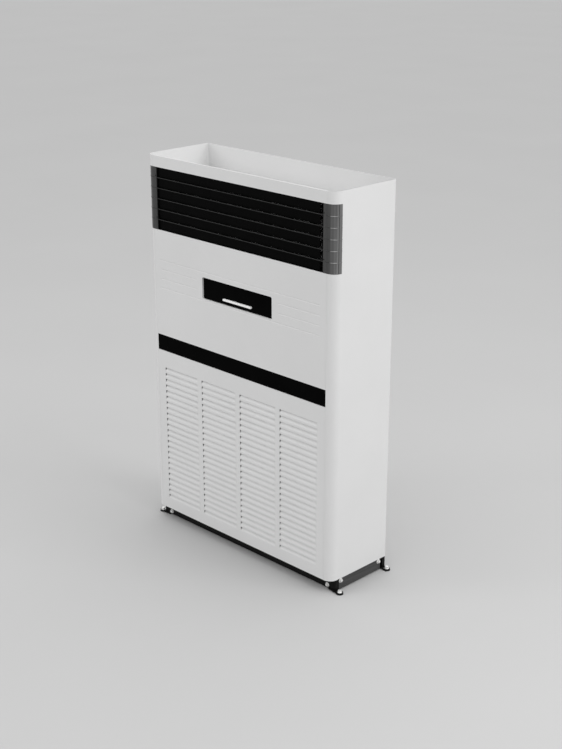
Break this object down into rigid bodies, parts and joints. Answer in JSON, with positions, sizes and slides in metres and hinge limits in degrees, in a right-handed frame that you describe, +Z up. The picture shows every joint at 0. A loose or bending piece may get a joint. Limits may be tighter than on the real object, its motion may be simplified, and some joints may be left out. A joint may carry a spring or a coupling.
{
  "type": "floor standing air conditioner",
  "caption": "Tall white sheet-steel air conditioner with louvred intake door, sunken display, black swinging outlet blades and a dark plinth on bolted feet.",
  "frame": {"origin": "on the floor under the middle of the object's bounding box", "axes": "+Z up, +X to the right seen from the front, the front looks along -Y"},
  "size_m": [1.262, 0.39, 1.85],
  "materials": {
    "white_paint": "fine white powder coat, satin",
    "white_plastic": "white moulded plastic, satin",
    "dark_paint": "dark grey paint, satin",
    "black_gloss": "polished black",
    "black_plastic": "smooth black",
    "dark_plastic": "dark grey, satin",
    "zinc_steel": "zinc coated sheet",
    "bright_steel": "bright zinc plated",
    "foot_rubber": "matt black",
    "fin_aluminium": "bare fins",
    "filter_mesh": "grey moulded frame with fine mesh"
  },
  "bodies": {
    "cabinet": {"plinth_front_beam": "dark_paint", "plinth_rear_beam": "dark_paint", "plinth_right_rail": "dark_paint", "plinth_left_rail": "dark_paint", "fan_motor": "dark_paint", "foot_pad_front_left": "foot_rubber", "foot_bolt_front_left": "bright_steel", "foot_pad_front_right": "foot_rubber", "foot_bolt_front_right": "bright_steel", "foot_pad_rear_left": "foot_rubber", "foot_bolt_rear_left": "bright_steel", "foot_pad_rear_right": "foot_rubber", "foot_bolt_rear_right": "bright_steel", "right_side_panel": "white_paint", "left_side_panel": "white_paint", "rear_panel": "white_paint", "top_band": "white_paint", "top_cover": "white_paint", "upper_front_panel": "white_paint", "divider_strip": "black_gloss", "display_window": "black_gloss", "display_housing": "black_plastic", "outlet_frame": "black_plastic", "drain_pan": "black_plastic", "right_outlet_cheek": "dark_plastic", "left_outlet_cheek": "dark_plastic", "base_pan": "zinc_steel", "blade_motor": "zinc_steel", "vane_motor": "zinc_steel", "right_scroll_housing": "zinc_steel", "left_scroll_housing": "zinc_steel", "motor_bracket": "zinc_steel", "blower_deck": "zinc_steel", "control_box": "zinc_steel", "control_box_lid": "zinc_steel", "evaporator_coil": "fin_aluminium"},
    "intake_door": {"intake_panel": "white_paint"},
    "right_filter": {"right_filter": "filter_mesh"},
    "left_filter": {"left_filter": "filter_mesh"},
    "key": {"key_bar": "white_plastic"},
    "blade_1": {"outlet_blade_1": "black_plastic"},
    "blade_2": {"outlet_blade_2": "black_plastic"},
    "blade_3": {"outlet_blade_3": "black_plastic"},
    "blade_4": {"outlet_blade_4": "black_plastic"},
    "blade_5": {"outlet_blade_5": "black_plastic"},
    "blade_6": {"outlet_blade_6": "black_plastic"},
    "blade_crank": {"blade_drive_crank": "white_plastic"},
    "blade_link": {"blade_link": "black_plastic"},
    "vane_1": {"outlet_vane_1": "black_plastic"},
    "vane_2": {"outlet_vane_2": "black_plastic"},
    "vane_3": {"outlet_vane_3": "black_plastic"},
    "vane_4": {"outlet_vane_4": "black_plastic"},
    "vane_5": {"outlet_vane_5": "black_plastic"},
    "vane_6": {"outlet_vane_6": "black_plastic"},
    "vane_7": {"outlet_vane_7": "black_plastic"},
    "vane_link": {"vane_link": "black_plastic"},
    "fan_rotor": {"fan_shaft": "bright_steel", "right_blower_wheel": "zinc_steel", "left_blower_wheel": "zinc_steel"}
  },
  "joints": [
    {"name": "intake_door_hinge", "type": "hinge", "parent": "cabinet", "child": "intake_door", "pos_m": [0, -0.185, 0.074], "axis": [1, 0, 0], "range_deg": [0, 30]},
    {"name": "right_filter_slide", "type": "slide", "parent": "intake_door", "child": "right_filter", "axis": [0, 0, 1], "range_m": [0, 0.06]},
    {"name": "left_filter_slide", "type": "slide", "parent": "intake_door", "child": "left_filter", "axis": [0, 0, 1], "range_m": [0, 0.06]},
    {"name": "key_travel", "type": "slide", "parent": "cabinet", "child": "key", "axis": [0, 1, 0], "range_m": [0, 0.0012], "stiffness_N_per_m": 800, "springref_m": -0.0005},
    {"name": "blade_1_swing", "type": "hinge", "parent": "cabinet", "child": "blade_1", "pos_m": [0, -0.184, 1.52508], "axis": [-1, 0, 0], "range_deg": [0, 78]},
    {"name": "blade_2_swing", "type": "hinge", "parent": "cabinet", "child": "blade_2", "pos_m": [0, -0.184, 1.57445], "axis": [-1, 0, 0], "range_deg": [0, 78]},
    {"name": "blade_3_swing", "type": "hinge", "parent": "cabinet", "child": "blade_3", "pos_m": [0, -0.184, 1.62382], "axis": [-1, 0, 0], "range_deg": [0, 78]},
    {"name": "blade_4_swing", "type": "hinge", "parent": "cabinet", "child": "blade_4", "pos_m": [0, -0.184, 1.67318], "axis": [-1, 0, 0], "range_deg": [0, 78]},
    {"name": "blade_5_swing", "type": "hinge", "parent": "cabinet", "child": "blade_5", "pos_m": [0, -0.184, 1.72255], "axis": [-1, 0, 0], "range_deg": [0, 78]},
    {"name": "blade_6_swing", "type": "hinge", "parent": "cabinet", "child": "blade_6", "pos_m": [0, -0.184, 1.77192], "axis": [-1, 0, 0], "range_deg": [0, 78]},
    {"name": "blade_crank_turn", "type": "hinge", "parent": "cabinet", "child": "blade_crank", "pos_m": [0, -0.162, 1.6485], "axis": [-1, 0, 0], "range_deg": [0, 78]},
    {"name": "blade_link_pin", "type": "hinge", "parent": "blade_1", "child": "blade_link", "pos_m": [0.5148, -0.17376, 1.53309], "axis": [-1, 0, 0], "range_deg": [-78, 0]},
    {"name": "vane_1_swing", "type": "hinge", "parent": "cabinet", "child": "vane_1", "pos_m": [-0.42, -0.133, 1.6485], "axis": [0, 0, 1], "range_deg": [-35, 35]},
    {"name": "vane_2_swing", "type": "hinge", "parent": "cabinet", "child": "vane_2", "pos_m": [-0.28, -0.133, 1.6485], "axis": [0, 0, 1], "range_deg": [-35, 35]},
    {"name": "vane_3_swing", "type": "hinge", "parent": "cabinet", "child": "vane_3", "pos_m": [-0.14, -0.133, 1.6485], "axis": [0, 0, 1], "range_deg": [-35, 35]},
    {"name": "vane_4_swing", "type": "hinge", "parent": "cabinet", "child": "vane_4", "pos_m": [0, -0.133, 1.6485], "axis": [0, 0, 1], "range_deg": [-35, 35]},
    {"name": "vane_5_swing", "type": "hinge", "parent": "cabinet", "child": "vane_5", "pos_m": [0.14, -0.133, 1.6485], "axis": [0, 0, 1], "range_deg": [-35, 35]},
    {"name": "vane_6_swing", "type": "hinge", "parent": "cabinet", "child": "vane_6", "pos_m": [0.28, -0.133, 1.6485], "axis": [0, 0, 1], "range_deg": [-35, 35]},
    {"name": "vane_7_swing", "type": "hinge", "parent": "cabinet", "child": "vane_7", "pos_m": [0.42, -0.133, 1.6485], "axis": [0, 0, 1], "range_deg": [-35, 35]},
    {"name": "vane_link_pin", "type": "hinge", "parent": "vane_4", "child": "vane_link", "pos_m": [0, -0.115, 1.6485], "axis": [0, 0, 1], "range_deg": [-35, 35]},
    {"name": "fan_spin", "type": "hinge", "parent": "cabinet", "child": "fan_rotor", "pos_m": [0, 0.003, 0.43], "axis": [1, 0, 0], "continuous": true}
  ],
  "couplings": [
    {"joint": "blade_2_swing", "follows": "blade_1_swing", "ratio": 1},
    {"joint": "blade_3_swing", "follows": "blade_1_swing", "ratio": 1},
    {"joint": "blade_4_swing", "follows": "blade_1_swing", "ratio": 1},
    {"joint": "blade_5_swing", "follows": "blade_1_swing", "ratio": 1},
    {"joint": "blade_6_swing", "follows": "blade_1_swing", "ratio": 1},
    {"joint": "blade_crank_turn", "follows": "blade_1_swing", "ratio": 1},
    {"joint": "blade_link_pin", "follows": "blade_1_swing", "ratio": -1},
    {"joint": "vane_2_swing", "follows": "vane_1_swing", "ratio": 1},
    {"joint": "vane_3_swing", "follows": "vane_1_swing", "ratio": 1},
    {"joint": "vane_4_swing", "follows": "vane_1_swing", "ratio": 1},
    {"joint": "vane_5_swing", "follows": "vane_1_swing", "ratio": 1},
    {"joint": "vane_6_swing", "follows": "vane_1_swing", "ratio": 1},
    {"joint": "vane_7_swing", "follows": "vane_1_swing", "ratio": 1},
    {"joint": "vane_link_pin", "follows": "vane_1_swing", "ratio": -1}
  ]
}
